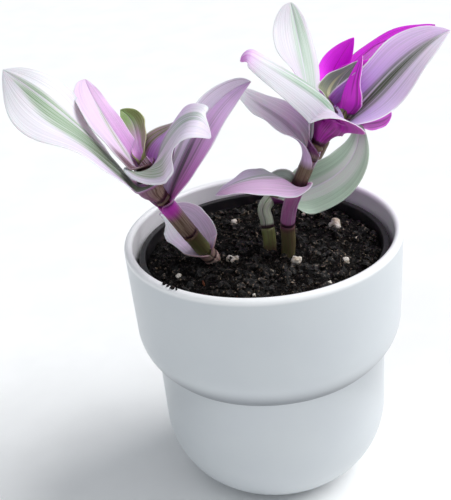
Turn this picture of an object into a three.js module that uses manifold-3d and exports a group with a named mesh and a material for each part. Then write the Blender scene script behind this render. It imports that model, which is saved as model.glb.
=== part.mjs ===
// A young variegated tradescantia in a stepped white ceramic pot, in millimetres, +Z up.
// The frame's origin is the middle of the pot's flat base, and the pot's front is towards -Y.
//
// The plant grows in a thin black nursery pot, filled with peat, that stands inside the ceramic pot.
// Three shoots rise from the peat. Each leaf is one thin body: a sheath that wraps the stem above its
// node like a sleeve, and opens into the blade. A younger leaf comes up inside the older one's sheath.

import * as THREE from 'three';
import { mergeVertices } from 'three/addons/utils/BufferGeometryUtils.js';
import Module from 'manifold-3d';

const wasm = await Module();
wasm.setup();

const { clamp, lerp, smoothstep, degToRad } = THREE.MathUtils;

// ---------------------------------------------------------------- driving dimensions

const gap = 0.3; // clear space left between pieces that touch
const samePoint = 1e-4; // points closer than this are one

const pot = {
  height: 110.4,
  rimRadius: 55, // outer, at the top of the wall
  wall: 3.4,
  floor: 4,
  waistHeight: 54, // the crease between the two tiers
  waistRadius: 46.8, // outer radius of the lower tier at the crease
  upperWallRadius: 53.8, // outer radius where the upper wall starts
  upperRound: { height: 21, inner: 32.6 }, // the upper tier's rounded underside, a quarter ellipse
  lowerWallRadius: 46.2, // outer radius where the lower wall starts
  lowerRound: { height: 31.3, inner: 19.6 }, // the rounded bottom, which starts at the flat foot
  roundSteps: 5, // points on each rounded stretch
  lipSteps: 4, // and over the rim
  sides: 40,
};

const nurseryPot = {
  rimHeight: 104, // above the ceramic pot's base
  rimRadius: 49.6,
  rimDepth: 4,
  topRadius: 48.2, // outer radius of its wall under the rim
  wall: 1,
  bottomHeight: 13,
  bottomRadius: 36,
  bevel: 0.6, // on the rim and round the bottom
  drainHoles: 6,
  drainRadius: 4,
  drainCircle: 24,
  drainSides: 12,
  sides: 40,
};

const soil = {
  height: 99.5, // mean level of the surface
  lump: 0.8, // height of its lumps
  holeLength: 20, // along a stem from its buried end to well above the surface
  rings: 4,
  sides: 40,
};

const stemMesh = {
  sides: 8,
  step: 6, // length of stem between two rings
  routeSamples: 400, // points at which a route's length is measured
};

// Routes of the three shoots: x, y, z and the radius of the shoot there, of stem or sheath.
const stemRoutes = {
  left: [
    [-19, 3, 86, 3.2], [-20.5, -1, 99, 3.2], [-23, -5, 105.5, 3.2], [-28, -12, 118, 3.2],
    [-33, -17, 129.5, 3.1], [-36, -20, 136.5, 3], [-38.5, -21.5, 143.5, 2.8], [-41.5, -21, 153, 1.8],
  ],
  right: [
    [9, -2, 86, 2.8], [9.5, -2, 99, 2.8], [10, -3, 106, 2.8], [10, -5, 115, 2.8],
    [11.5, -7, 123.5, 2.8], [14, -9, 130.5, 2.8], [18.5, -10, 141, 2.8], [21.5, -9.5, 146.5, 2.7],
    [25, -8, 151.5, 2.4], [29, -7, 155.8, 2.1], [33, -5.8, 160.6, 1.8],
  ],
  back: [
    [2.5, 1.5, 86, 2.6], [2.5, 1.5, 100, 2.6], [2.5, 2, 106, 2.6], [2, 4, 113, 2.6],
    [2, 7, 119, 2.5], [10, 12.5, 123, 2.4], [21, 22, 126.5, 2.3], [28, 29, 134.5, 2.3],
    [32, 36, 144, 2.1], [35, 40.5, 151, 1.8],
  ],
};

const blade = {
  thickness: 0.6,
  steps: 10, // along the blade
  sheathStep: 4, // length of sheath between two rows of its mesh
  sides: 8, // across the blade, and round the sheath
  seam: 0.05, // share of the sheath's girth left open
};

// Under a sheath the stem is slimmer, so that the sheath lies flush with the bare stem below it.
const bed = {
  depth: 1.3,
  slimmest: 0.6, // radius that a stem keeps
  mouth: 3, // how far the bed runs on past the sheath
  slack: 0.3, // room in a sheath beyond the gap
  shoulder: 0.1, // length over which the stem steps in
};

// What a leaf has unless its own entry says otherwise.
const usualLeaf = {
  rise: 8, // how far the midrib follows the stem past the sheath
  peak: 0.4, // share of the blade's length at which it is widest
  base: 0.7, // width near the stem, as a share of the greatest
  open: 0.12, // share of the blade's length over which the sheath opens
  fold: 20, // angle of each half to the blade's middle plane, in degrees
  cup: 0.02, // further curl of each half, in radians per mm outwards
  roll: 0, // how far the blade turns about its midrib in its lower half
  twist: 0, // and in its upper half
  spin: 0, // how far the leaf is turned round the stem
  lop: 0, // how much wider one half is than the other
};

// node and sheath are lengths along the stem. From the sheath the midrib bends towards mid and ends
// at tip. width is the blade's greatest half width.
const leaves = {
  left: [
    // small and pale, low behind the stem
    {
      node: 18, sheath: 3, rise: 5, mid: [-31, 17, 112], tip: [-41, 12, 115],
      width: 10.5, roll: -20, spin: 20,
    },
    // orchid pink, towards the middle, from a long striped sheath
    {
      node: 37, sheath: 18, rise: 3, mid: [-20, -13, 173], tip: [0, -4, 173],
      width: 11, fold: 45, cup: 0.04, roll: 40, spin: 20, lop: -0.1,
    },
    // the big white leaf, out to the left
    {
      node: 59, sheath: 8, rise: 12, mid: [-66, -27, 177], tip: [-87, -13, 188],
      width: 15, peak: 0.6, base: 0.8, fold: -10, cup: 0.01, roll: -15, twist: -70, spin: 10, lop: -0.2,
    },
    // banded with green, arched over to the front
    {
      node: 66, sheath: 3, rise: 12, mid: [-16, -50, 190], tip: [-15, -40, 167],
      width: 14, peak: 0.45, base: 1.1, open: 0.35, fold: -5, cup: -0.02, twist: -45, spin: 25, lop: 0.25,
    },
    // a narrow pink trough
    {
      node: 71.5, sheath: 1.5, mid: [-57, -16, 173], tip: [-61, 2, 177],
      width: 8, cup: 0, roll: -15, twist: -15, lop: -0.25,
    },
    // the youngest, small and green
    {
      node: 74.5, sheath: 1, mid: [-42, -6, 162], tip: [-49, -3, 166],
      width: 5, peak: 0.6, base: 0.2, open: 0.3, fold: 10,
    },
  ],
  right: [
    // level, across the front of the shoots
    {
      node: 29, sheath: 15, rise: 14, mid: [-6, -24, 146], tip: [-16, -22, 137],
      width: 10, base: 0.85, open: 0.3, fold: -15, cup: 0, roll: -25, twist: 15, spin: 25,
    },
    // blurred pink and grey, behind
    {
      node: 48, sheath: 9, rise: 16, mid: [5, 13, 155], tip: [-5, 28, 160],
      width: 9.5, base: 0.2, open: 0.3, fold: 10, cup: 0, roll: -15, twist: -10, lop: -0.1,
    },
    // upright, white and pink
    {
      node: 60, sheath: 1.5, rise: 10, mid: [21, 17, 167], tip: [18, 40, 189],
      width: 10.5, peak: 0.55, base: 0.35, fold: 10, cup: 0, roll: -15, twist: -60, spin: 40, lop: -0.3,
    },
    // white, towards the front left, with a magenta hook at its tip
    {
      node: 66, sheath: 9, rise: 7, mid: [33, -12, 165], tip: [-4, -7, 188],
      width: 12, peak: 0.45, base: 0.6, open: 0.4, fold: -35, cup: -0.04, roll: -105, lop: 0.1,
    },
    // big, to the upper right
    {
      node: 73.5, sheath: 2.5, rise: 6, mid: [57, 1, 181], tip: [74, 5, 183],
      width: 11.5, base: 0.9, fold: 25, roll: 70, twist: -45,
    },
    // olive, behind the bud
    {
      node: 76.5, sheath: 1.5, rise: 5, mid: [26, 13, 161], tip: [41, 7, 174],
      width: 8.5, roll: -25, twist: 30,
    },
    // the bud, still folded
    {
      node: 78.5, sheath: 1.5, rise: 4, mid: [31, -9, 167], tip: [41, -3, 179],
      width: 7.5, fold: 50, cup: -0.02, roll: -30, twist: -15, spin: 20,
    },
  ],
  back: [
    // grey green with a silver band, to the right
    {
      node: 24, sheath: 12, rise: 5, mid: [43, 12, 118], tip: [42, 30, 142],
      width: 11, base: 0.15, open: 0.4, roll: 30, spin: 60,
    },
    // magenta from below, under the big right leaf
    { node: 73, sheath: 3, mid: [47, 22, 144], tip: [54, 18, 148], width: 9, roll: -30, twist: -20 },
    // bright magenta from below, at the back
    {
      node: 79, sheath: 2, mid: [25, 45, 149], tip: [43, 46, 171],
      width: 13, base: 0.55, fold: 0, cup: -0.04, roll: 35, twist: -90, spin: 15,
    },
    // folded, high at the back
    { node: 84, sheath: 2, rise: 9, mid: [51, 56, 169], tip: [76, 47, 173], width: 8, fold: 30, twist: 10 },
    // narrow, to the far right
    { node: 89, sheath: 1.5, mid: [52, 28, 153], tip: [72, 28, 169], width: 10.5, fold: 25, roll: -15 },
  ],
};

const colours = {
  ceramic: { color: 0xe9ebec, roughness: 0.32 },
  plastic: { color: 0x1b1a1c, roughness: 0.5 },
  peat: { color: 0x241b16, roughness: 0.95 },
  stem: { color: 0x6d6a3a, roughness: 0.5 },
  leaf: { color: 0xdccfe0, roughness: 0.45 },
};

// ---------------------------------------------------------------- shared helpers

function finish(name, geometry, look) {
  const material = new THREE.MeshStandardMaterial({ ...look, metalness: 0 });
  const mesh = new THREE.Mesh(geometry, material);
  mesh.name = name;
  return mesh;
}

function toSolid(geometry) {
  const bare = geometry.clone();
  bare.deleteAttribute('normal');
  bare.deleteAttribute('uv');
  const merged = mergeVertices(bare, samePoint);
  return new wasm.Manifold(new wasm.Mesh({
    numProp: 3,
    vertProperties: new Float32Array(merged.attributes.position.array),
    triVerts: new Uint32Array(merged.index.array),
  }));
}

function toGeometry(solid) {
  const mesh = solid.getMesh();
  const geometry = new THREE.BufferGeometry();
  geometry.setAttribute('position', new THREE.BufferAttribute(mesh.vertProperties, 3));
  geometry.setIndex(new THREE.BufferAttribute(mesh.triVerts, 1));
  return geometry;
}

// The largest body of a solid that a cut may have left in pieces.
function largestBody(solid) {
  const bodies = solid.decompose();
  return bodies.reduce((best, body) => (body.volume() > best.volume() ? body : best));
}

function fromTriangles(points, triangles) {
  const geometry = new THREE.BufferGeometry();
  geometry.setFromPoints(points);
  geometry.setIndex(triangles);
  return geometry;
}

// A closed outline in (radius, height), turned about the vertical axis.
function turned(outline, sides) {
  const points = outline.map(([radius, height]) => new THREE.Vector2(radius, height));
  const geometry = new THREE.LatheGeometry(points, sides);
  geometry.rotateX(Math.PI / 2);
  return geometry;
}

// A point on the circle of this radius, at this share of a full turn.
function onCircle(radius, turn) {
  const angle = turn * 2 * Math.PI;
  return [radius * Math.cos(angle), radius * Math.sin(angle)];
}

// ---------------------------------------------------------------- the ceramic pot

// Points of a quarter ellipse in (radius, height), from its foot, or from the angle start, to its side.
function quarterEllipse(inner, outer, bottom, height, start = 0) {
  const points = [];
  for (let i = 0; i <= pot.roundSteps; i += 1) {
    const angle = lerp(start, Math.PI / 2, i / pot.roundSteps);
    points.push([inner + (outer - inner) * Math.sin(angle), bottom + height * (1 - Math.cos(angle))]);
  }
  return points;
}

// One face of the pot's wall from foot to rim, at inset from the outer face.
function potWall(inset, bottom) {
  const { upperRound: upper, lowerRound: lower, upperWallRadius, lowerWallRadius, waistHeight } = pot;
  const waist = pot.waistRadius - inset;
  const crease = Math.asin((waist - upper.inner) / (upperWallRadius - inset - upper.inner));
  return [
    ...quarterEllipse(lower.inner, lowerWallRadius - inset, bottom, lower.height - bottom),
    ...quarterEllipse(upper.inner, upperWallRadius - inset, waistHeight, upper.height, crease),
  ];
}

function ceramicPot() {
  const lip = pot.wall / 2;
  const rim = [];
  for (let i = 0; i <= pot.lipSteps; i += 1) {
    const angle = (i / pot.lipSteps) * Math.PI;
    rim.push([pot.rimRadius - lip + lip * Math.cos(angle), pot.height - lip + lip * Math.sin(angle)]);
  }
  const outside = [[0, 0], ...potWall(0, 0)];
  const inside = [...potWall(pot.wall, pot.floor).reverse(), [0, pot.floor]];
  return finish('pot', turned([...outside, ...rim, ...inside], pot.sides), colours.ceramic);
}

// ---------------------------------------------------------------- the nursery pot

function plasticPot() {
  const { wall, rimRadius, rimHeight, rimDepth, topRadius, bottomHeight, bottomRadius, bevel } = nurseryPot;
  const { drainHoles, drainRadius, drainCircle, drainSides } = nurseryPot;
  const rimBottom = rimHeight - rimDepth;
  const outline = [
    [0, bottomHeight],
    [bottomRadius - bevel, bottomHeight],
    [bottomRadius, bottomHeight + bevel],
    [topRadius, rimBottom],
    [rimRadius, rimBottom],
    [rimRadius, rimHeight - bevel],
    [rimRadius - bevel, rimHeight],
    [topRadius - wall, rimHeight],
    [topRadius - wall, rimBottom],
    [bottomRadius - wall, bottomHeight + wall],
    [0, bottomHeight + wall],
  ];
  let solid = toSolid(turned(outline, nurseryPot.sides));
  for (let i = 0; i < drainHoles; i += 1) {
    const drill = new THREE.CylinderGeometry(drainRadius, drainRadius, wall * 4, drainSides);
    drill.rotateX(Math.PI / 2);
    drill.translate(...onCircle(drainCircle, i / drainHoles), bottomHeight);
    solid = solid.subtract(toSolid(drill));
  }
  return finish('nursery_pot', toGeometry(solid), colours.plastic);
}

// ---------------------------------------------------------------- stems

class Stem {
  constructor(route, shootLeaves) {
    const points = route.map(([x, y, z]) => new THREE.Vector3(x, y, z));
    this.curve = new THREE.CatmullRomCurve3(points, false, 'catmullrom', 0.5);
    this.curve.arcLengthDivisions = stemMesh.routeSamples;
    this.length = this.curve.getLength();
    const lengths = this.curve.getLengths();
    const samplesPerPoint = stemMesh.routeSamples / (route.length - 1);
    this.marks = route.map(([, , , radius], i) => [lengths[Math.round(i * samplesPerPoint)], radius]);
    this.beds = shootLeaves.map(({ node, sheath }) => [node - gap, node + sheath + bed.mouth]);
  }

  // The route's point at a length along it. Past its ends it goes straight on.
  at(distance) {
    const inside = clamp(distance, 0, this.length);
    const tangent = this.curve.getTangentAt(inside / this.length);
    return this.curve.getPointAt(inside / this.length).addScaledVector(tangent, distance - inside);
  }

  direction(distance) {
    const [before, after] = [this.at(distance - 0.5), this.at(distance + 0.5)];
    return after.sub(before).normalize();
  }

  // Radius of the whole shoot, as its route says.
  girth(distance) {
    const next = this.marks.findIndex(([mark]) => mark >= distance);
    if (next <= 0) return next === 0 ? this.marks[0][1] : this.marks.at(-1)[1];
    const [before, after] = [this.marks[next - 1], this.marks[next]];
    return lerp(before[1], after[1], (distance - before[0]) / (after[0] - before[0]));
  }

  // Radius of the stem itself.
  radius(distance) {
    const bedded = this.beds.some(([from, to]) => distance > from && distance < to);
    return bedded ? Math.max(this.girth(distance) - bed.depth, bed.slimmest) : this.girth(distance);
  }

  // Lengths along the stem at which its mesh has rings: even steps, and both ends of each shoulder.
  stations(from, to) {
    const steps = Math.ceil((to - from) / stemMesh.step);
    const even = Array.from({ length: steps + 1 }, (_, i) => lerp(from, to, i / steps));
    const edges = this.beds.flat().flatMap((edge) => [edge - bed.shoulder / 2, edge + bed.shoulder / 2]);
    const inside = edges.filter((edge) => edge > from + bed.shoulder && edge < to - bed.shoulder);
    const isClear = (distance) => inside.every((edge) => Math.abs(edge - distance) > bed.shoulder);
    return [...even.filter(isClear), ...inside].sort((a, b) => a - b);
  }

  // A closed tube along the stem, thicker by extra, with its rings square to the route.
  tube(extra, from = 0, to = this.length) {
    const stations = this.stations(from, to);
    const points = [];
    let side = new THREE.Vector3(1, 0, 0);
    for (const distance of stations) {
      const centre = this.at(distance);
      const along = this.direction(distance);
      side = side.clone().addScaledVector(along, -side.dot(along)).normalize();
      const other = along.clone().cross(side);
      for (let j = 0; j < stemMesh.sides; j += 1) {
        const [u, v] = onCircle(this.radius(distance) + extra, j / stemMesh.sides);
        points.push(centre.clone().addScaledVector(side, u).addScaledVector(other, v));
      }
    }
    points.push(this.at(from), this.at(to));
    const [first, last] = [points.length - 2, points.length - 1];
    const top = (stations.length - 1) * stemMesh.sides;
    const triangles = [];
    for (let j = 0; j < stemMesh.sides; j += 1) {
      const k = (j + 1) % stemMesh.sides;
      for (let a = 0; a < top; a += stemMesh.sides) {
        const b = a + stemMesh.sides;
        triangles.push(a + j, a + k, b + k, a + j, b + k, b + j);
      }
      triangles.push(first, k, j, last, top + j, top + k);
    }
    return fromTriangles(points, triangles);
  }
}

const stems = {};
for (const [shoot, route] of Object.entries(stemRoutes)) stems[shoot] = new Stem(route, leaves[shoot]);

// ---------------------------------------------------------------- soil

function soilLevel(x, y) {
  const broad = Math.sin(x * 0.11 + 0.6) * Math.cos(y * 0.13 - 0.4);
  const fine = Math.sin(x * 0.37 + y * 0.21) * Math.sin(y * 0.41 - x * 0.17 + 1.2);
  return soil.height + soil.lump * (0.6 * broad + 0.4 * fine);
}

function soilBody() {
  const { wall, topRadius, bottomRadius, bottomHeight, rimHeight, rimDepth, bevel } = nurseryPot;
  const floor = bottomHeight + wall + gap;
  const slope = (topRadius - bottomRadius) / (rimHeight - rimDepth - bottomHeight - bevel);
  const wallRadius = (height) => bottomRadius - wall - gap + slope * (height - bottomHeight - wall);
  const points = [];
  for (let ring = 1; ring <= soil.rings; ring += 1) {
    for (let j = 0; j < soil.sides; j += 1) {
      const reach = wallRadius(soil.height - soil.lump) * (ring / soil.rings);
      const [x, y] = onCircle(reach, j / soil.sides);
      points.push(new THREE.Vector3(x, y, soilLevel(x, y)));
    }
  }
  for (let j = 0; j < soil.sides; j += 1) {
    points.push(new THREE.Vector3(...onCircle(wallRadius(floor), j / soil.sides), floor));
  }
  points.push(new THREE.Vector3(0, 0, soilLevel(0, 0)), new THREE.Vector3(0, 0, floor));
  const [top, bottom] = [points.length - 2, points.length - 1];
  const triangles = [];
  for (let j = 0; j < soil.sides; j += 1) {
    const k = (j + 1) % soil.sides;
    triangles.push(top, j, k);
    for (let ring = 0; ring < soil.rings; ring += 1) {
      const [a, b] = [ring * soil.sides, (ring + 1) * soil.sides];
      triangles.push(a + j, b + j, b + k, a + j, b + k, a + k);
    }
    const last = soil.rings * soil.sides;
    triangles.push(last + j, bottom, last + k);
  }
  let solid = toSolid(fromTriangles(points, triangles));
  for (const stem of Object.values(stems)) {
    const hole = stem.tube(gap, -gap, soil.holeLength);
    solid = solid.subtract(toSolid(hole));
  }
  return finish('soil', toGeometry(solid), colours.peat);
}

// ---------------------------------------------------------------- leaves

// The blade's half width at the share t of its length, as a share of the greatest.
function outline(leaf, t) {
  if (t < leaf.peak) return leaf.base + (1 - leaf.base) * Math.sin((Math.PI / 2) * (t / leaf.peak));
  const past = (t - leaf.peak) / (1 - leaf.peak);
  return (1 - past * past) ** 0.9;
}

// The midrib, with the blade's upper and sideways directions. Its stations lie closer together at the
// blade's two ends.
function midrib(leaf, stem) {
  const top = leaf.node + leaf.sheath;
  const up = stem.direction(top);
  const start = stem.at(top);
  const mid = new THREE.Vector3(...leaf.mid);
  const out = mid.clone().sub(start);
  out.addScaledVector(up, -out.dot(up)).normalize().applyAxisAngle(up, degToRad(leaf.spin));
  const route = [];
  const sheathSteps = Math.ceil(leaf.sheath / blade.sheathStep);
  for (let i = 0; i < sheathSteps; i += 1) {
    const distance = leaf.node + (leaf.sheath * i) / sheathSteps;
    const along = stem.direction(distance);
    const side = out.clone().addScaledVector(along, -out.dot(along)).normalize();
    const radius = lerp(leaf.foot, leaf.sleeve, smoothstep(distance, leaf.node, leaf.node + leaf.flare));
    route.push({ t: 0, radius, point: stem.at(distance).addScaledVector(side, radius) });
  }
  start.addScaledVector(out, leaf.sleeve);
  const handle = start.clone().addScaledVector(up, leaf.rise);
  const curve = new THREE.CubicBezierCurve3(start, handle, mid, new THREE.Vector3(...leaf.tip));
  for (let i = 0; i <= blade.steps; i += 1) {
    const t = (1 - Math.cos((Math.PI * i) / blade.steps)) / 2;
    route.push({ t, radius: leaf.sleeve, point: curve.getPoint(t) });
  }
  let face = out.clone().negate();
  route.forEach((station, i) => {
    const before = route[Math.max(i - 1, 0)].point;
    const after = route[Math.min(i + 1, route.length - 1)].point;
    const along = after.clone().sub(before).normalize();
    face = face.clone().addScaledVector(along, -face.dot(along)).normalize();
    const turn = leaf.roll * smoothstep(station.t, 0.02, 0.5) + leaf.twist * smoothstep(station.t, 0.4, 1);
    station.face = face.clone().applyAxisAngle(along, degToRad(turn));
    station.side = along.clone().cross(station.face);
  });
  return route;
}

// Points across the blade at one station: the sleeve's circle, opening into the two folded halves.
function section(leaf, station) {
  const { t, radius, point, face, side } = station;
  const opened = smoothstep(t, 0, leaf.open);
  const wrap = Math.PI * radius * (1 - blade.seam);
  const halfWidth = lerp(wrap, leaf.width * outline(leaf, t), smoothstep(t, 0, leaf.open * 0.8));
  const curl = lerp(1 / radius, leaf.cup, opened) || 1e-6;
  const fold = degToRad(opened * lerp(leaf.fold, leaf.fold / 2, smoothstep(t, 0.3, 1)));
  const points = [];
  for (let j = 0; j <= blade.sides; j += 1) {
    const share = (2 * j) / blade.sides - 1;
    const hand = Math.sign(share);
    const reach = Math.abs(share) * halfWidth * (1 + hand * leaf.lop * opened);
    const angle = fold + curl * reach;
    const outwards = (hand * (Math.sin(angle) - Math.sin(fold))) / curl;
    const upwards = (Math.cos(fold) - Math.cos(angle)) / curl;
    points.push(point.clone().addScaledVector(side, outwards).addScaledVector(face, upwards));
  }
  return points;
}

// The middle surface's directions at row i and column j of its points: across, along and normal to it.
function surfaceFrame(grid, i, j) {
  const last = { row: grid.length - 1, column: blade.sides };
  const across = grid[i][Math.min(j + 1, last.column)].clone().sub(grid[i][Math.max(j - 1, 0)]);
  const along = grid[Math.min(i + 1, last.row)][j].clone().sub(grid[Math.max(i - 1, 0)][j]);
  const normal = across.clone().cross(along);
  return [across.normalize(), along.normalize(), normal.normalize()];
}

// The whole leaf, larger by extra all round. Its seam stays as narrow as it is.
function leafBody(leaf, stem, extra = 0) {
  const route = midrib(leaf, stem);
  const tip = route.pop();
  const grid = route.map((station) => section(leaf, station));
  const columns = blade.sides + 1;
  const rows = grid.length;
  const upper = [];
  const lower = [];
  const half = blade.thickness / 2 + extra;
  grid.forEach((row, i) => row.forEach((middle, j) => {
    const [across, along, normal] = surfaceFrame(grid, i, j);
    const point = middle.clone();
    if (i === 0) point.addScaledVector(along, -extra);
    if (j === 0 && route[i].t > 0) point.addScaledVector(across, -extra);
    if (j === blade.sides && route[i].t > 0) point.addScaledVector(across, extra);
    upper.push(point.clone().addScaledVector(normal, half));
    lower.push(point.clone().addScaledVector(normal, -half));
  }));
  const [, ahead] = surfaceFrame(grid, rows - 1, blade.sides / 2);
  tip.point.addScaledVector(ahead, extra);
  upper.push(tip.point.clone().addScaledVector(tip.face, half));
  lower.push(tip.point.clone().addScaledVector(tip.face, -half));
  const points = [...upper, ...lower];
  const under = upper.length;
  const [tipUp, tipDown] = [under - 1, 2 * under - 1];
  const triangles = [];
  const quad = (a, b, c, d) => triangles.push(a, b, c, a, c, d);
  for (let i = 0; i < rows - 1; i += 1) {
    for (let j = 0; j < blade.sides; j += 1) {
      const [a, b] = [i * columns + j, (i + 1) * columns + j];
      triangles.push(a, a + 1, b + 1, a, b + 1, b);
      triangles.push(under + a, under + b + 1, under + a + 1, under + a, under + b, under + b + 1);
    }
    const [left, right] = [i * columns, i * columns + blade.sides];
    quad(left, left + columns, under + left + columns, under + left);
    quad(right, under + right, under + right + columns, right + columns);
  }
  const last = (rows - 1) * columns;
  for (let j = 0; j < blade.sides; j += 1) {
    quad(j, under + j, under + j + 1, j + 1);
    triangles.push(last + j, last + j + 1, tipUp);
    triangles.push(under + last + j, tipDown, under + last + j + 1);
  }
  quad(last, tipUp, tipDown, under + last);
  quad(last + blade.sides, under + last + blade.sides, tipDown, tipUp);
  return fromTriangles(points, triangles);
}

// Sheaths nest: each fits the stem at its foot, and widens like a funnel to take the sheaths of the
// younger leaves that start in its mouth.
function nestSheaths(shootLeaves, stem) {
  const roundness = Math.cos(Math.PI / blade.sides); // of a sheath's flat sides to its radius
  const around = (radius) => (radius + gap + bed.slack) / roundness + blade.thickness / 2;
  for (let i = shootLeaves.length - 1; i >= 0; i -= 1) {
    const leaf = shootLeaves[i];
    const mouth = leaf.node + leaf.sheath + bed.mouth;
    const younger = shootLeaves.slice(i + 1).filter(({ node }) => node < mouth);
    leaf.foot = around(stem.radius(leaf.node));
    leaf.sleeve = Math.max(leaf.foot, ...younger.map(({ sleeve }) => around(sleeve + blade.thickness / 2)));
    leaf.flare = Math.min(leaf.sheath, ...younger.map(({ node }) => node - leaf.node));
  }
}

// The leaves of one shoot, each cut clear of the stem and of the younger leaves that rise through it.
function leafSolids(shootLeaves, stem) {
  const full = shootLeaves.map((own) => ({ ...usualLeaf, ...own }));
  nestSheaths(full, stem);
  const stemRoom = toSolid(stem.tube(gap));
  const rooms = full.map((leaf) => toSolid(leafBody(leaf, stem, gap)));
  return full.map((leaf, i) => {
    let solid = toSolid(leafBody(leaf, stem)).subtract(stemRoom);
    for (const room of rooms.slice(i + 1)) solid = solid.subtract(room);
    return largestBody(solid);
  });
}

// ---------------------------------------------------------------- the whole plant

const plant = new THREE.Group();
plant.add(ceramicPot(), plasticPot(), soilBody());
for (const [shoot, stem] of Object.entries(stems)) {
  plant.add(finish(`stem_${shoot}`, stem.tube(0), colours.stem));
  leafSolids(leaves[shoot], stem).forEach((solid, i) => {
    plant.add(finish(`leaf_${shoot}_${i + 1}`, toGeometry(solid), colours.leaf));
  });
}

export default plant;
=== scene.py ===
"""A young variegated tradescantia in a stepped white ceramic pot, dressed over its solid parts.

Sizes are in millimetres in the frame of the solids, and become metres where a mesh is made. Materials
and the camera work in metres. Each leaf has the route and the form of its solid, with more points,
thinner margins, veins and colours.
"""

import random
from math import asin, ceil, cos, exp, pi, radians, sin, sqrt
from types import SimpleNamespace

import bmesh
import bpy
import numpy as np
from mathutils import Matrix, Vector, noise


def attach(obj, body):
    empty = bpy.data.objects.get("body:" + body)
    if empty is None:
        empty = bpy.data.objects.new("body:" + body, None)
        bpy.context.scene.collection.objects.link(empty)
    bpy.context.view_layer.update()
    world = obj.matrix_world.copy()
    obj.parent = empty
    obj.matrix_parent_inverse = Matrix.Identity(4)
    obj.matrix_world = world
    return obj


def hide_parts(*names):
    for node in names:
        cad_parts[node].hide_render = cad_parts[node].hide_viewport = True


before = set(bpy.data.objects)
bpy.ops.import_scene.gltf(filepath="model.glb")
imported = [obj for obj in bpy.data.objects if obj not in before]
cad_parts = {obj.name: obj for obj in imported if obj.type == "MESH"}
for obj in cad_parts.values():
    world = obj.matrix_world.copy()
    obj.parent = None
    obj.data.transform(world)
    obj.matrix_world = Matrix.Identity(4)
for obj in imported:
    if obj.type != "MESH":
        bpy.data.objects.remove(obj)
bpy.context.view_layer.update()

MM = 0.001
random.seed(7)

# -------------------- sizes of the pots, soil and stems

GAP = 0.3  # clear space between pieces that touch
AXIS = 0.01  # radius at which a turned floor ends, just clear of the axis
CORNER = 0.3  # share of a bevel that its middle point lies in from each face

POT = SimpleNamespace(
    height=110.4, rim_radius=55, wall=3.4, floor=4,
    waist_height=54, waist_radius=46.8,
    upper_wall_radius=53.8, upper_round_height=21, upper_round_inner=32.6,
    lower_wall_radius=46.2, lower_round_height=31.3, lower_round_inner=19.6,
    round_steps=28, lip_steps=14, sides=160,
)

NURSERY = SimpleNamespace(
    rim_height=104, rim_radius=49.6, rim_depth=4, top_radius=48.2, wall=1,
    bottom_height=13, bottom_radius=36, bevel=0.5, sides=160,
)

SOIL = SimpleNamespace(height=99.5, lump=0.8, radius=46.6, floor=14.3, floor_radius=34.7, rings=70, sides=220)

STEM_SIDES = 28
STEM_STEP = 0.7  # length of stem between two rings
ROUTE_SAMPLES = 400  # points at which a route's length is measured
SIGHT = 0.5  # length to each side over which a stem's direction is measured
SWELLING = SimpleNamespace(share=0.05, width=1.2)  # of the stem just below each node

# Routes of the three shoots: x, y, z and the radius of the shoot there, of stem or sheath.
STEM_ROUTES = {
    "left": [
        (-19, 3, 86, 3.2), (-20.5, -1, 99, 3.2), (-23, -5, 105.5, 3.2), (-28, -12, 118, 3.2),
        (-33, -17, 129.5, 3.1), (-36, -20, 136.5, 3), (-38.5, -21.5, 143.5, 2.8), (-41.5, -21, 153, 1.8),
    ],
    "right": [
        (9, -2, 86, 2.8), (9.5, -2, 99, 2.8), (10, -3, 106, 2.8), (10, -5, 115, 2.8),
        (11.5, -7, 123.5, 2.8), (14, -9, 130.5, 2.8), (18.5, -10, 141, 2.8), (21.5, -9.5, 146.5, 2.7),
        (25, -8, 151.5, 2.4), (29, -7, 155.8, 2.1), (33, -5.8, 160.6, 1.8),
    ],
    "back": [
        (2.5, 1.5, 86, 2.6), (2.5, 1.5, 100, 2.6), (2.5, 2, 106, 2.6), (2, 4, 113, 2.6),
        (2, 7, 119, 2.5), (10, 12.5, 123, 2.4), (21, 22, 126.5, 2.3), (28, 29, 134.5, 2.3),
        (32, 36, 144, 2.1), (35, 40.5, 151, 1.8),
    ],
}

# Under a sheath the stem is slimmer, so that the sheath lies flush with the bare stem below it.
BED = SimpleNamespace(depth=1.3, slimmest=0.6, mouth=3, slack=0.3, shoulder=0.8)

# -------------------- leaves

BLADE = SimpleNamespace(
    thickness=0.6, steps=56, sheath_step=1.2, sides=36, seam=0.015, coarse_sides=8,
    margin_power=5, margin_thinning=0.6, wave=0.35, waves=21, rib_width=0.07, groove=0.22, keel=0.28,
)

# Shares of the blade's length between which each of these sets in.
SPANS = SimpleNamespace(
    roll=(0.02, 0.5), twist=(0.4, 1), flatter=(0.3, 1), relief=(0.02, 0.2), wave=(0.15, 0.5), calm=(0.9, 1),
)

WIDTH_OPENS = 0.8  # the width opens in this share of the stretch in which the curl opens
EDGE_CHANGES = 0.15  # up to this share of the length, the edge has the colours of the lower face
HOOK_START = 0.955  # share of the length where a hooked tip starts to bend
LEAST_CURL = 1e-6
SHEATH_SCALE = 20  # length of sheath that takes up as much of the leaf's map as the whole blade

# What a leaf has unless its own entry says otherwise.
USUAL_LEAF = dict(
    rise=8, peak=0.4, base=0.7, open=0.12, fold=20, cup=0.02, roll=0, twist=0, spin=0, lop=0,
    tip_power=0.8, hook=0,
)


def grown(node, sheath, mid, tip, width, **own):
    """A leaf's measures. node and sheath are lengths along the stem, and from the sheath the midrib
    bends towards mid and ends at tip. width is the blade's greatest half width, which it has at the
    share peak of its length."""
    return {**USUAL_LEAF, **dict(node=node, sheath=sheath, mid=mid, tip=tip, width=width), **own}


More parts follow.
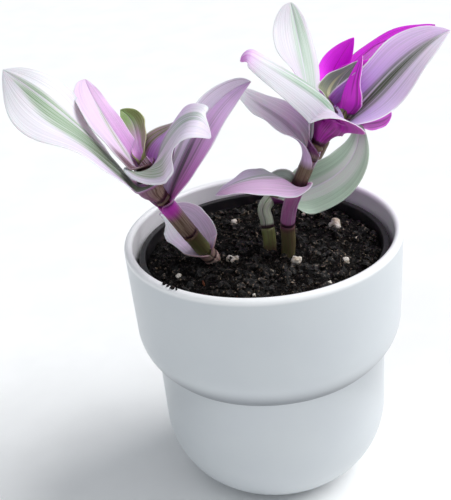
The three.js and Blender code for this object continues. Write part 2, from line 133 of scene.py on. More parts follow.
LEAVES = {
    "left": [
        grown(18, 3, (-31, 17, 112), (-41, 12, 115), 10.5, rise=5, roll=-20, spin=20),
        grown(
            37, 18, (-20, -13, 173), (0, -4, 173), 11,
            rise=3, fold=45, cup=0.04, roll=40, spin=20, lop=-0.1,
        ),
        grown(
            59, 8, (-66, -27, 177), (-87, -13, 188), 15,
            rise=12, peak=0.6, base=0.8, fold=-10, cup=0.01, roll=-15, twist=-70, spin=10, lop=-0.2,
        ),
        grown(
            66, 3, (-16, -50, 190), (-15, -40, 167), 14,
            rise=12, peak=0.45, base=1.1, open=0.35, fold=-5, cup=-0.02, twist=-45, spin=25, lop=0.25,
        ),
        grown(
            71.5, 1.5, (-57, -16, 173), (-61, 2, 177), 8,
            base=1, cup=0, roll=-15, twist=-15, lop=-0.35, tip_power=0.6,
        ),
        grown(74.5, 1, (-42, -6, 162), (-49, -3, 166), 5, peak=0.6, base=0.2, open=0.3, fold=10),
    ],
    "right": [
        grown(
            29, 15, (-6, -24, 146), (-16, -22, 137), 10,
            rise=14, base=0.85, open=0.3, fold=-15, cup=0, roll=-25, twist=15, spin=25,
        ),
        grown(
            48, 9, (5, 13, 155), (-5, 28, 160), 9.5,
            rise=16, base=0.2, open=0.3, fold=10, cup=0, roll=-15, twist=-10, lop=-0.1,
        ),
        grown(
            60, 1.5, (21, 17, 167), (18, 40, 189), 10.5, rise=10, peak=0.55, base=0.35,
            fold=10, cup=0, roll=-15, twist=-60, spin=40, lop=-0.3, tip_power=0.5,
        ),
        grown(
            66, 9, (33, -12, 165), (-4, -7, 188), 12, rise=7, peak=0.45, base=0.6, open=0.4,
            fold=-35, cup=-0.04, roll=-105, lop=0.1, tip_power=0.4, hook=120,
        ),
        grown(73.5, 2.5, (57, 1, 181), (74, 5, 183), 11.5, rise=6, base=0.9, fold=25, roll=70, twist=-45),
        grown(76.5, 1.5, (26, 13, 161), (41, 7, 174), 8.5, rise=5, roll=-25, twist=30),
        grown(
            78.5, 1.5, (31, -9, 167), (41, -3, 179), 7.5,
            rise=4, fold=50, cup=-0.02, roll=-30, twist=-15, spin=20,
        ),
    ],
    "back": [
        grown(24, 12, (43, 12, 118), (42, 30, 142), 11, rise=5, base=0.15, open=0.4, roll=30, spin=60),
        grown(73, 3, (47, 22, 144), (54, 18, 148), 9, roll=-30, twist=-20),
        grown(
            79, 2, (25, 45, 149), (43, 46, 171), 13,
            base=0.55, fold=0, cup=-0.04, roll=35, twist=-90, spin=15,
        ),
        grown(84, 2, (51, 56, 169), (76, 47, 173), 8, rise=9, fold=30, twist=10),
        grown(89, 1.5, (52, 28, 153), (72, 28, 169), 10.5, fold=25, roll=-15),
    ],
}

# -------------------- shared helpers


def add_piece(name, points, faces, material, slot, replaced=(), uv=None, smooth=True):
    """A mesh piece from points in millimetres, riding on the root body."""
    mesh = bpy.data.meshes.new(name)
    mesh.from_pydata((np.asarray(points, float) * MM).tolist(), [], faces)
    if uv is not None:
        corners = np.empty(len(mesh.loops), int)
        mesh.loops.foreach_get("vertex_index", corners)
        layer = mesh.uv_layers.new(name="Blade")
        layer.data.foreach_set("uv", np.asarray(uv, float)[corners].ravel())
    mesh.polygons.foreach_set("use_smooth", [smooth] * len(mesh.polygons))
    mesh.update()
    piece = bpy.data.objects.new(name, mesh)
    bpy.context.scene.collection.objects.link(piece)
    mesh.materials.append(material)
    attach(piece, "root")
    if replaced:
        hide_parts(*replaced)
    return piece


def smoothstep(x, low, high):
    share = np.clip((np.asarray(x, float) - low) / (high - low), 0, 1)
    return share * share * (3 - 2 * share)


def lerp(a, b, share):
    return a + (b - a) * share


def unit(vector):
    return vector / np.linalg.norm(vector)


def turned_about(vector, axis, degrees):
    return np.array(Matrix.Rotation(radians(degrees), 3, Vector(axis)) @ Vector(vector))


def turned(outline, sides):
    """Points and faces of a closed outline in (radius, height), turned about the vertical axis."""
    ring = len(outline)
    angles = [2 * pi * k / sides for k in range(sides)]
    points = [(r * cos(a), r * sin(a), z) for a in angles for r, z in outline]
    faces = []
    for k in range(sides):
        a, b = k * ring, ((k + 1) % sides) * ring
        for i in range(ring - 1):
            faces.append((a + i, b + i, b + i + 1, a + i + 1))
    return points, faces


def tube_faces(steps, sides):
    """The faces of a tube of rings of points, with a flat face at each end."""
    faces = []
    for i in range(steps):
        for j in range(sides):
            k = (j + 1) % sides
            a, b = i * sides, (i + 1) * sides
            faces.append((a + j, a + k, b + k, b + j))
    faces.append(tuple(reversed(range(sides))))
    faces.append(tuple(steps * sides + j for j in range(sides)))
    return faces


# -------------------- stems


class Stem:
    """A shoot's route, as a Catmull-Rom curve, and its radius along it."""

    def __init__(self, route, leaves):
        self.points = np.array([point[:3] for point in route], float)
        self.samples = np.linspace(0, 1, ROUTE_SAMPLES + 1)
        places = np.array([self.place(t) for t in self.samples])
        steps = np.linalg.norm(np.diff(places, axis=0), axis=1)
        self.lengths = np.concatenate([[0], np.cumsum(steps)])
        self.length = self.lengths[-1]
        marks = np.linspace(0, ROUTE_SAMPLES, len(route)).round().astype(int)
        self.mark_lengths = self.lengths[marks]
        self.mark_radii = [point[3] for point in route]
        self.beds = [(leaf["node"] - GAP, leaf["node"] + leaf["sheath"] + BED.mouth) for leaf in leaves]

    def place(self, t):
        count = len(self.points)
        position = t * (count - 1)
        first = min(int(position), count - 2)
        share = position - first
        p1, p2 = self.points[first], self.points[first + 1]
        p0 = self.points[first - 1] if first > 0 else 2 * p1 - p2
        p3 = self.points[first + 2] if first + 2 < count else 2 * p2 - p1
        t0, t1 = (p2 - p0) / 2, (p3 - p1) / 2
        quadratic = -3 * p1 + 3 * p2 - 2 * t0 - t1
        cubic = 2 * p1 - 2 * p2 + t0 + t1
        return p1 + share * (t0 + share * (quadratic + share * cubic))

    def at(self, distance):
        """The route's point at a length along it. Past its ends it goes straight on."""
        inside = min(max(distance, 0), self.length)
        t = np.interp(inside, self.lengths, self.samples)
        point = self.place(t)
        if inside == distance:
            return point
        near = 1e-4
        tangent = unit(self.place(min(t + near, 1)) - self.place(max(t - near, 0)))
        return point + tangent * (distance - inside)

    def direction(self, distance):
        return unit(self.at(distance + SIGHT) - self.at(distance - SIGHT))

    def girth(self, distance):
        return float(np.interp(distance, self.mark_lengths, self.mark_radii))

    def radius(self, distance):
        """Radius of the stem itself, which steps in under each sheath."""
        girth = self.girth(distance)
        sunk = 0.0
        for start, end in self.beds:
            into = smoothstep(distance, start, start + BED.shoulder)
            out = 1 - smoothstep(distance, end - BED.shoulder, end)
            sunk = max(sunk, float(into * out))
        return max(girth - sunk * BED.depth, BED.slimmest)


STEMS = {shoot: Stem(route, LEAVES[shoot]) for shoot, route in STEM_ROUTES.items()}


def swelling(distance, stem):
    """How much wider the stem is at this length than its plain radius."""
    width = SWELLING.width
    bumps = sum(exp(-(((distance - node + width) / width) ** 2)) for node, _ in stem.beds)
    return 1 + SWELLING.share * bumps


def stem_piece(shoot, stem):
    """The stem as a fine tube. It swells a little at each node."""
    rings = ceil(stem.length / STEM_STEP)
    points, uv = [], []
    side = np.array([1.0, 0, 0])
    for i in range(rings + 1):
        distance = stem.length * i / rings
        centre, along = stem.at(distance), stem.direction(distance)
        side = unit(side - along * side.dot(along))
        other = np.cross(along, side)
        radius = stem.radius(distance) * swelling(distance, stem)
        for j in range(STEM_SIDES):
            angle = 2 * pi * j / STEM_SIDES
            points.append(centre + radius * (side * cos(angle) + other * sin(angle)))
            uv.append((j / STEM_SIDES, distance / stem.length))
    faces = tube_faces(rings, STEM_SIDES)
    add_piece(f"shoot_{shoot}", points, faces, stem_material(shoot), "stem", [f"stem_{shoot}"], uv)


# -------------------- leaf form


def outline(leaf, t):
    """The blade's half width at the share t of its length, as a share of the greatest."""
    rising = leaf["base"] + (1 - leaf["base"]) * np.sin(pi / 2 * np.clip(t / leaf["peak"], 0, 1))
    past = np.clip((t - leaf["peak"]) / (1 - leaf["peak"]), 0, 1)
    return np.where(t < leaf["peak"], rising, (1 - past * past) ** leaf["tip_power"])


def bezier(points, t):
    a, b, c, d = (np.asarray(p, float) for p in points)
    s = 1 - t
    return a * s**3 + 3 * b * s * s * t + 3 * c * s * t * t + d * t**3


def hooked(points, shares, hook):
    """The midrib with its last part bent downwards by the angle hook."""
    first = next(i for i, t in enumerate(shares) if t > HOOK_START)
    tangent = unit(points[first] - points[first - 1])
    axis = unit(np.cross(tangent, (0, 0, -1)))
    bent = points.copy()
    for i in range(first, len(points)):
        turn = hook * (shares[i] - HOOK_START) / (1 - HOOK_START)
        bent[i] = bent[i - 1] + turned_about(points[i] - points[i - 1], axis, turn)
    return bent


def midrib(leaf, stem):
    """Stations along the sheath and the blade: their share t, point, face and side directions."""
    top = leaf["node"] + leaf["sheath"]
    up, start = stem.direction(top), stem.at(top)
    mid, tip = np.array(leaf["mid"], float), np.array(leaf["tip"], float)
    out = mid - start
    out = turned_about(unit(out - up * out.dot(up)), up, leaf["spin"])
    shares, points, depths, radii = [], [], [], []
    sheath_steps = ceil(leaf["sheath"] / BLADE.sheath_step)
    for i in range(sheath_steps):
        distance = leaf["node"] + leaf["sheath"] * i / sheath_steps
        along = stem.direction(distance)
        side = unit(out - along * out.dot(along))
        widened = float(smoothstep(distance, leaf["node"], leaf["node"] + leaf["flare"]))
        radii.append(lerp(leaf["foot"], leaf["sleeve"], widened))
        shares.append(0.0)
        points.append(stem.at(distance) + side * radii[-1])
        depths.append(top - distance)
    foot = start + out * leaf["sleeve"]
    control = (foot, foot + up * leaf["rise"], mid, tip)
    for i in range(BLADE.steps + 1):
        t = (1 - cos(pi * i / BLADE.steps)) / 2
        shares.append(t)
        points.append(bezier(control, t))
        depths.append(0.0)
        radii.append(leaf["sleeve"])
    points = hooked(np.array(points), shares, leaf["hook"])
    faces, sides = [], []
    face = -out
    for i, t in enumerate(shares):
        along = unit(points[min(i + 1, len(points) - 1)] - points[max(i - 1, 0)])
        face = unit(face - along * face.dot(along))
        turn = leaf["roll"] * smoothstep(t, *SPANS.roll) + leaf["twist"] * smoothstep(t, *SPANS.twist)
        faces.append(turned_about(face, along, float(turn)))
        sides.append(np.cross(along, faces[-1]))
    return tuple(np.array(column) for column in (shares, radii, points, faces, sides, depths))


def leaf_grid(leaf, stem):
    """The blade's middle surface as rows of points, with the share t of each row and its sheath depth.

    In the sheath a row is a circle about the stem. It opens into a blade whose halves rise from the
    midrib by the angle fold and curl by cup.
    """
    t, radii, points, faces, sides, depths = midrib(leaf, stem)
    opened = smoothstep(t, 0, leaf["open"])
    wrap = pi * radii * (1 - BLADE.seam)
    widened = smoothstep(t, 0, WIDTH_OPENS * leaf["open"])
    half_width = lerp(wrap, leaf["width"] * outline(leaf, t), widened)
    curl = lerp(1 / radii, leaf["cup"], opened)
    curl = np.where(np.abs(curl) < LEAST_CURL, LEAST_CURL, curl)
    fold = np.radians(opened * lerp(leaf["fold"], leaf["fold"] / 2, smoothstep(t, *SPANS.flatter)))
    shares = np.linspace(-1, 1, BLADE.sides + 1)
    hand = np.sign(shares)[None, :]
    reach = np.abs(shares)[None, :] * half_width[:, None] * (1 + hand * leaf["lop"] * opened[:, None])
    angle = fold[:, None] + curl[:, None] * reach
    outwards = hand * (np.sin(angle) - np.sin(fold)[:, None]) / curl[:, None]
    upwards = (np.cos(fold)[:, None] - np.cos(angle)) / curl[:, None]
    across = sides[:, None, :] * outwards[..., None]
    grid = points[:, None, :] + across + faces[:, None, :] * upwards[..., None]
    return grid, t, shares, depths


def surface_normals(grid):
    across = np.gradient(grid, axis=1)
    along = np.gradient(grid, axis=0)
    normals = np.cross(across, along)
    lengths = np.linalg.norm(normals, axis=2, keepdims=True)
    return normals / np.maximum(lengths, 1e-9)


def leaf_faces(t, columns):
    """The faces above and below, for two sheets of points with one row for each t, and the tip."""
    rows = len(t)
    under, tip = rows * columns, 2 * rows * columns
    above, below = [], []
    for i in range(rows - 1):
        for j in range(columns - 1):
            a, b = i * columns + j, (i + 1) * columns + j
            above.append((a, a + 1, b + 1, b))
            below.append((under + a, under + b, under + b + 1, under + a + 1))
        left, right = i * columns, (i + 1) * columns - 1
        edge = above if t[i] > EDGE_CHANGES else below
        edge.append((left, left + columns, under + left + columns, under + left))
        edge.append((right, under + right, under + right + columns, right + columns))
    last = (rows - 1) * columns
    for j in range(columns - 1):
        below.append((j, under + j, under + j + 1, j + 1))
        above.append((last + j, last + j + 1, tip))
        below.append((under + last + j + 1, under + last + j, tip))
    above.append((last, tip, under + last))
    above.append((last + columns - 1, under + last + columns - 1, tip))
    return above, below


def leaf_skin(leaf, stem, phase):
    """The points of one leaf, their places on its map, and its faces above and below. Its margin is
    thinner than its middle and waves a little, and the midrib is a groove above and a keel below."""
    grid, t, shares, depths = leaf_grid(leaf, stem)
    tip = grid[-1, len(shares) // 2]
    grid, t, depths = grid[:-1], t[:-1], depths[:-1]
    normals = surface_normals(grid)
    relief = smoothstep(t, *SPANS.relief)[:, None]
    margin = np.abs(shares)[None, :] ** BLADE.margin_power
    free = smoothstep(t, *SPANS.wave)[:, None] * (1 - smoothstep(t, *SPANS.calm))[:, None]
    swing = np.sin(t * BLADE.waves + phase)[:, None]
    wave = BLADE.wave * swing * margin * free * np.sign(shares)[None, :]
    rib = np.exp(-((shares / BLADE.rib_width) ** 2))[None, :] * relief
    half = BLADE.thickness / 2 * (1 - BLADE.margin_thinning * margin * relief)
    middle = grid + normals * wave[..., None]
    upper = middle + normals * (half - BLADE.groove * rib)[..., None]
    lower = middle - normals * (half + BLADE.keel * rib)[..., None]
    points = [*upper.reshape(-1, 3), *lower.reshape(-1, 3), tip]
    heights = np.where(t > 0, t, -depths / SHEATH_SCALE)
    flat_uv = [((share + 1) / 2, height) for height in heights for share in shares]
    uv = [*flat_uv, *flat_uv, (0.5, 1.0)]
    return points, uv, *leaf_faces(t, len(shares))


def leaf_piece(name, leaf, stem, phase):
    """One leaf as a closed skin, with a material for each face."""
    points, uv, above, below = leaf_skin(leaf, stem, phase)
    paint = {**USUAL_PAINT, **PAINT[name]}
    material = blade_material(name, paint, phase)
    piece = add_piece(f"blade_{name}", points, above + below, material, "leaf", [f"leaf_{name}"], uv)
    foot = leaf["sheath"] / SHEATH_SCALE
    piece.data.materials.append(underside_material(name, paint, phase, foot))
    piece.data.polygons.foreach_set("material_index", [0] * len(above) + [1] * len(below))


def nest_sheaths(leaves, stem):
    """Give each leaf its sheath's radii. Sheaths nest: each fits the stem at its foot, and widens like a
    funnel to take the sheaths of the younger leaves that start in its mouth."""
    roundness = cos(pi / BLADE.coarse_sides)
    half = BLADE.thickness / 2
    for i in reversed(range(len(leaves))):
        leaf = leaves[i]
        mouth = leaf["node"] + leaf["sheath"] + BED.mouth
        younger = [other for other in leaves[i + 1 :] if other["node"] < mouth]
        bedded = max(stem.girth(leaf["node"]) - BED.depth, BED.slimmest)
        insides = [bedded, *(other["sleeve"] + half for other in younger)]
        around = [(inside + GAP + BED.slack) / roundness + half for inside in insides]
        leaf["foot"] = around[0]
        leaf["sleeve"] = max(around)
        leaf["flare"] = min([leaf["sheath"], *(other["node"] - leaf["node"] for other in younger)])


# -------------------- materials


class Shade:
    """A material, with its nodes made and joined one step at a time."""

    def __init__(self, name):
        self.material = bpy.data.materials.new(name)
        self.material.use_nodes = True
        self.tree = self.material.node_tree
        self.shader = self.tree.nodes["Principled BSDF"]

    def put(self, socket, value):
        """Join an output to a socket, or set the socket to a value."""
        if isinstance(value, bpy.types.NodeSocket):
            self.tree.links.new(value, socket)
        else:
            socket.default_value = value

    def node(self, kind, *values):
        """A new node, with its first sockets joined or set."""
        node = self.tree.nodes.new("ShaderNode" + kind)
        for socket, value in zip(node.inputs, values):
            self.put(socket, value)
        return node

    def look(self, **values):
        """Set or join the shader's own sockets: base_color sets Base Color, and so on."""
        for name, value in values.items():
            self.put(self.shader.inputs[name.replace("_", " ").title().replace("Ior", "IOR")], value)

    def math(self, operation, a, b=0.0):
        node = self.node("Math", a, b)
        node.operation = operation
        return node.outputs[0]

    def times(self, a, b):
        return self.math("MULTIPLY", a, b)

    def ramp(self, value, low, high, to_low=0.0, to_high=1.0, smooth=True):
        """The value's place between low and high, eased, as a number from to_low to to_high."""
        node = self.node("MapRange", value, low, high, to_low, to_high)
        node.interpolation_type = "SMOOTHSTEP" if smooth else "LINEAR"
        return node.outputs[0]

    def mix(self, share, a, b, blend="MIX"):
        """Colour a, with the share of colour b laid over it."""
        node = self.node("Mix", share)
        node.data_type = "RGBA"
        node.blend_type = blend
        self.put(node.inputs[6], a)
        self.put(node.inputs[7], b)
        return node.outputs[2]

    def vector(self, x, y, z):
        return self.node("CombineXYZ", x, y, z).outputs[0]

    def split(self, vector):
        return tuple(self.node("SeparateXYZ", vector).outputs)

    def noise(self, place, scale=1.0, detail=3.0, roughness=0.5):
        node = self.node("TexNoise", place)
        node.inputs["Scale"].default_value = scale
        node.inputs["Detail"].default_value = detail
        node.inputs["Roughness"].default_value = roughness
        return node.outputs["Fac"]

    def cells(self, place, scale):
        node = self.node("TexVoronoi", place)
        node.inputs["Scale"].default_value = scale
        return node.outputs["Distance"]

    def place(self):
        """The point in the object's own frame, in metres."""
        return self.node("TexCoord").outputs["Object"]

    def bump(self, height, depth):
        """Fine relief of this depth, in millimetres."""
        node = self.node("Bump")
        node.inputs["Strength"].default_value = 1.0
        node.inputs["Distance"].default_value = depth * MM
        self.put(node.inputs["Height"], height)
        self.put(self.shader.inputs["Normal"], node.outputs["Normal"])


def rgb(red, green, blue):
    """A colour as it is seen, from 0 to 255, as the shader wants it."""

    def linear(level):
        share = level / 255
        return share / 12.92 if share <= 0.04045 else ((share + 0.055) / 1.055) ** 2.4

    return (linear(red), linear(green), linear(blue), 1.0)


WHITE = rgb(238, 236, 242)
PALE_LILAC = rgb(228, 218, 235)
LILAC = rgb(214, 198, 224)
ROSE_LILAC = rgb(210, 182, 212)
PINK = rgb(224, 166, 226)
MAGENTA = rgb(236, 58, 240)
DEEP_MAGENTA = rgb(178, 44, 170)
PURPLE = rgb(104, 40, 98)
DEEP_PURPLE = rgb(58, 22, 48)
MAROON = rgb(94, 55, 52)
BROWN = rgb(96, 74, 62)
BEIGE = rgb(166, 144, 128)
PALE_GREEN = rgb(196, 210, 196)
SAGE = rgb(146, 168, 134)
DUSTY_GREEN = rgb(118, 124, 112)
GREY_GREEN = rgb(150, 162, 152)
DEEP_GREEN = rgb(72, 84, 52)
OLIVE = rgb(132, 138, 84)
CREAM_GREEN = rgb(206, 210, 166)


def both(near, tip):
    """The same colours for both halves of a blade, near the stem and at the tip."""
    return dict(left=(near, tip), right=(near, tip))


def band(colour, t, centre, width, strength=1.0):
    """A stripe along the blade: t, centre and width are pairs, for its two ends."""
    return dict(colour=colour, t=t, centre=centre, width=width, strength=strength)


# left and right are the colours of the two halves, and under those of the lower face, near the stem
# and at the tip. sheath has its ground and its streaks, ring is how high up it a dark ring reaches,
# and patch is a colour at its mouth.
USUAL_PAINT = dict(
    **both(LILAC, PALE_LILAC), bands=(), streak=0.25, streaks=GREY_GREEN, margin=WHITE, midrib=PALE_LILAC,
    under=(PURPLE, MAGENTA), sheath=(BROWN, BEIGE), patch=None, ring=0.1,
)

PAINT = {
    "left_1": dict(
        left=(rgb(222, 200, 226), WHITE), right=(rgb(222, 200, 226), rgb(222, 200, 226)), streak=0.05,
        under=(rgb(196, 160, 168), MAGENTA), sheath=(rgb(176, 140, 130), rgb(206, 180, 166)),
    ),
    "left_2": dict(
        right=(rgb(214, 134, 210), rgb(228, 200, 238)), streak=0.3, streaks=DUSTY_GREEN,
        bands=(
            band(rgb(92, 100, 92), (0.08, 0.7), (0.22, 0.06), (0.24, 0.12), 0.9),
            band(DUSTY_GREEN, (0.2, 0.75), (-0.42, -0.5), (0.18, 0.1), 0.7),
            band(rgb(100, 104, 100), (0.28, 0.75), (0.42, 0.5), (0.06, 0.04), 0.6),
        ),
        patch=DEEP_MAGENTA,
    ),
    "left_3": dict(
        left=(LILAC, WHITE), right=(PALE_LILAC, WHITE), streak=0.12,
        bands=(
            band(rgb(150, 178, 144), (-0.1, 1.05), (-0.5, 0.08), (0.62, 0.16)),
            band(DEEP_GREEN, (-0.1, 0.6), (-0.8, -0.1), (0.5, 0.26), 0.9),
        ),
        under=(rgb(122, 44, 112), LILAC),
    ),
    "left_4": dict(
        left=(rgb(212, 158, 230), WHITE), right=(PALE_LILAC, PALE_LILAC), streak=0.2,
        bands=(
            band(rgb(150, 170, 154), (0.15, 0.95), (0.0, -0.1), (0.34, 0.24), 0.8),
            band(OLIVE, (0.05, 0.5), (-0.9, -0.75), (0.28, 0.15)),
            band(SAGE, (-0.1, 0.5), (0.7, 0.55), (0.3, 0.2)),
        ),
        under=(rgb(92, 40, 84), PURPLE),
    ),
    "left_5": dict(
        left=(rgb(238, 212, 240), rgb(240, 214, 242)), right=(PINK, rgb(236, 204, 238)), streak=0.12,
        bands=(
            band(PALE_GREEN, (0.15, 0.85), (-0.3, 0.05), (0.2, 0.1), 0.8),
            band(OLIVE, (0.2, 0.8), (-0.3, 0.05), (0.05, 0.03), 0.7),
            band(MAROON, (-0.1, 0.45), (-0.75, -1.0), (0.55, 0.2)),
        ),
        under=(MAROON, rgb(186, 170, 174)),
    ),
    "left_6": dict(
        left=(PINK, rgb(170, 196, 136)), right=(PINK, rgb(150, 180, 112)), streak=0.1, margin=CREAM_GREEN,
        bands=(band(OLIVE, (-0.1, 1.1), (0.85, 0.7), (0.3, 0.5)),), under=(OLIVE, rgb(150, 180, 112)),
    ),
    "right_1": dict(
        left=(rgb(222, 190, 222), rgb(222, 190, 222)), right=(GREY_GREEN, LILAC), streak=0.2,
        bands=(
            band(DUSTY_GREEN, (0.08, 0.5), (0.4, 0.0), (0.25, 0.14)),
            band(GREY_GREEN, (0.4, 0.95), (0.05, 0.0), (0.2, 0.1), 0.8),
        ),
        under=(rgb(190, 112, 170), ROSE_LILAC), sheath=(rgb(138, 60, 124), rgb(202, 160, 196)),
    ),
    "right_2": dict(
        **both(rgb(246, 242, 248), rgb(248, 246, 250)), streak=0.15,
        bands=(band(GREY_GREEN, (0.25, 0.9), (-0.35, -0.2), (0.2, 0.14), 0.5),),
        under=(rgb(206, 176, 212), WHITE), sheath=(BROWN, rgb(146, 128, 98)), ring=0.24,
    ),
    "right_3": dict(
        left=(rgb(226, 206, 230), rgb(224, 222, 228)), right=(rgb(222, 204, 226), rgb(224, 222, 228)),
        streak=0.06,
        bands=(
            band(rgb(186, 210, 190), (0.2, 1.15), (0.2, 0.25), (0.6, 0.45)),
            band(DEEP_GREEN, (-0.1, 0.4), (-0.5, -0.3), (0.5, 0.3)),
        ),
    ),
    "right_4": dict(
        left=(rgb(232, 218, 238), rgb(240, 236, 244)), right=(LILAC, rgb(236, 230, 240)), streak=0.1,
        bands=(
            band(rgb(160, 194, 164), (0.15, 0.97), (0.15, 0.0), (0.35, 0.3)),
            band(MAGENTA, (0.94, 1.6), (0.0, 0.0), (2.0, 2.0)),
        ),
        under=(DEEP_MAGENTA, PALE_LILAC), sheath=(rgb(150, 34, 140), rgb(104, 50, 84)),
    ),
    "right_5": dict(
        left=(rgb(186, 124, 218), rgb(226, 204, 238)), right=(rgb(206, 182, 228), rgb(234, 226, 240)),
        streak=0.2,
        bands=(
            band(DUSTY_GREEN, (-0.1, 1.05), (0.05, 0.15), (0.4, 0.2)),
            band(DEEP_GREEN, (0.0, 0.8), (0.1, 0.15), (0.12, 0.05), 0.7),
        ),
        under=(DEEP_MAGENTA, MAGENTA), sheath=(DEEP_MAGENTA, PURPLE),
    ),
    "right_6": dict(
        **both(OLIVE, GREY_GREEN), streak=0.2,
        bands=(band(CREAM_GREEN, (0.0, 0.95), (-0.45, -0.3), (0.12, 0.07)),),
    ),
    "right_7": dict(
        **both(MAGENTA, MAGENTA), streak=0.35, streaks=DEEP_PURPLE,
        under=(rgb(200, 50, 196), rgb(226, 54, 226)),
    ),
    "back_1": dict(
        **both(rgb(172, 194, 174), rgb(172, 194, 174)), streak=0.1, margin=rgb(196, 212, 196),
        bands=(band(rgb(212, 216, 212), (0.15, 1.1), (0.0, 0.2), (0.3, 0.6), 0.9),),
        sheath=(rgb(176, 188, 160), rgb(214, 220, 204)),
    ),
    "back_2": dict(under=(rgb(250, 80, 246), rgb(240, 134, 244)), margin=MAGENTA),
    "back_3": dict(**both(MAGENTA, MAGENTA), streak=0.05, midrib=DEEP_MAGENTA, margin=MAGENTA),
    "back_4": dict(**both(MAGENTA, MAGENTA), streak=0.4, streaks=PURPLE, midrib=PURPLE, margin=PURPLE),
    "back_5": dict(**both(MAGENTA, MAGENTA), streak=0.05, margin=MAGENTA),
}

# Colours of the bare stems, at lengths along each route.
STEM_COLOURS = {
    "left": (
        (0, BROWN), (12, rgb(190, 160, 146)), (17.5, rgb(216, 184, 178)), (19, OLIVE),
        (35, rgb(92, 86, 50)), (37, MAROON), (40, BROWN), (78, BROWN),
    ),
    "right": (
        (0, BROWN), (14, rgb(84, 80, 50)), (26, rgb(110, 100, 70)), (29, rgb(110, 50, 80)), (31, BROWN),
        (46, rgb(80, 48, 40)), (49, rgb(110, 88, 70)), (80, rgb(120, 96, 76)),
    ),
    "back": ((0, BROWN), (15, BROWN), (20, OLIVE), (30, rgb(120, 124, 84)), (90, rgb(120, 110, 80))),
}


class Skin(Shade):
    """The material of a leaf or stem. across goes from -1 to 1, along from the sheath to the tip, and
    broad and fine are streaks that run along it, from 0 to 1."""

    def __init__(self, name, seed):
        super().__init__(name)
        node = self.node("UVMap")
        node.uv_map = "Blade"
        across, self.along, _ = self.split(node.outputs["UV"])
        self.across = self.math("SUBTRACT", self.times(across, 2.0), 1.0)
        self.distance = self.math("ABSOLUTE", self.across)
        self.broad = self.streaks(7.0, 0.9, seed)
        self.fine = self.streaks(34.0, 1.4, seed)

    def streaks(self, across, along, seed):
        return self.noise(self.vector(self.times(self.across, across), self.times(self.along, along), seed))

    def band(self, ground, stripe):
        """The ground with one band laid over it, broken up by the streaks."""
        start, end = stripe["t"]
        centre = self.ramp(self.along, start, end, *stripe["centre"], smooth=False)
        width = self.ramp(self.along, start, end, *stripe["width"], smooth=False)
        away = self.math("ABSOLUTE", self.math("SUBTRACT", self.across, centre))
        away = self.math("ADD", self.math("DIVIDE", away, width), self.times(self.broad, 0.8))
        inside = self.ramp(away, 1.0, 1.6, stripe["strength"], 0.0)
        starts = self.ramp(self.along, start - 0.05, start + 0.1)
        ends = self.ramp(self.along, end - 0.25, end, 1.0, 0.0)
        mask = self.times(inside, self.times(starts, ends))
        mask = self.times(mask, self.ramp(self.fine, 0.4, 0.6, 1.0, 0.6))
        return self.mix(mask, ground, stripe["colour"])

    def margin(self, ground, start, colour):
        """The ground with the margin's colour from this share outwards. It fades in from the sheath."""
        edge = self.times(self.ramp(self.distance, start, 0.99, 0.0, 0.6), self.ramp(self.along, 0.0, 0.3))
        return self.mix(edge, ground, colour)

    def finish(self, colour):
        """The satin, slightly see-through skin in this colour, with the fine relief of its veins."""
        self.look(
            base_color=colour, roughness=0.42, specular_ior_level=0.35,
            subsurface_weight=0.8, subsurface_radius=(1.0, 0.7, 0.8), subsurface_scale=1.2 * MM,
        )
        self.bump(self.fine, depth=0.12)
        return self.material


def blade_material(name, paint, seed):
    """The upper face: two halves, bands, streaks, midrib and margin."""
    skin = Skin(f"blade_{name}", seed)
    outwards = skin.ramp(skin.along, 0.15, 0.85)
    left = skin.mix(outwards, *paint["left"])
    right = skin.mix(outwards, *paint["right"])
    colour = skin.mix(skin.ramp(skin.across, -0.12, 0.12), left, right)
    colour = skin.mix(skin.ramp(skin.broad, 0.5, 0.68, 0.0, paint["streak"]), colour, paint["streaks"])
    for stripe in paint["bands"]:
        colour = skin.band(colour, stripe)
    colour = skin.mix(skin.ramp(skin.distance, 0.015, 0.05, 0.55, 0.0), colour, paint["midrib"])
    colour = skin.margin(colour, 0.93, paint["margin"])
    grain = skin.ramp(skin.fine, 0.3, 0.7, 0.86, 1.06)
    return skin.finish(skin.mix(1.0, colour, skin.vector(grain, grain, grain), "MULTIPLY"))


def underside_material(name, paint, seed, foot):
    """The lower face, which is also the outside of the sheath. The sheath's foot lies at -foot along."""
    skin = Skin(f"underside_{name}", seed + 3)
    along, fine = skin.along, skin.fine
    colour = skin.mix(skin.ramp(along, 0.1, 0.8), *paint["under"])
    colour = skin.mix(skin.ramp(skin.broad, 0.45, 0.7, 0.0, 0.5), colour, DEEP_PURPLE)
    colour = skin.margin(colour, 0.94, paint["margin"])
    sheath = skin.mix(skin.ramp(fine, 0.42, 0.62), *paint["sheath"])
    sheath = skin.mix(skin.ramp(skin.distance, 0.1, 0.5, 0.7, 0.0), sheath, paint["under"][0])
    sheath = skin.mix(skin.ramp(fine, 0.5, 0.62, 0.0, 0.4), sheath, DEEP_PURPLE)
    ring = skin.ramp(along, 0.4 * paint["ring"] - foot, paint["ring"] - foot, 0.95, 0.0)
    sheath = skin.mix(ring, sheath, rgb(60, 26, 40))
    if paint["patch"]:
        sheath = skin.mix(skin.ramp(along, -0.4, -0.05, 0.0, 0.9), sheath, paint["patch"])
    return skin.finish(skin.mix(skin.ramp(along, -0.02, 0.06), sheath, colour))


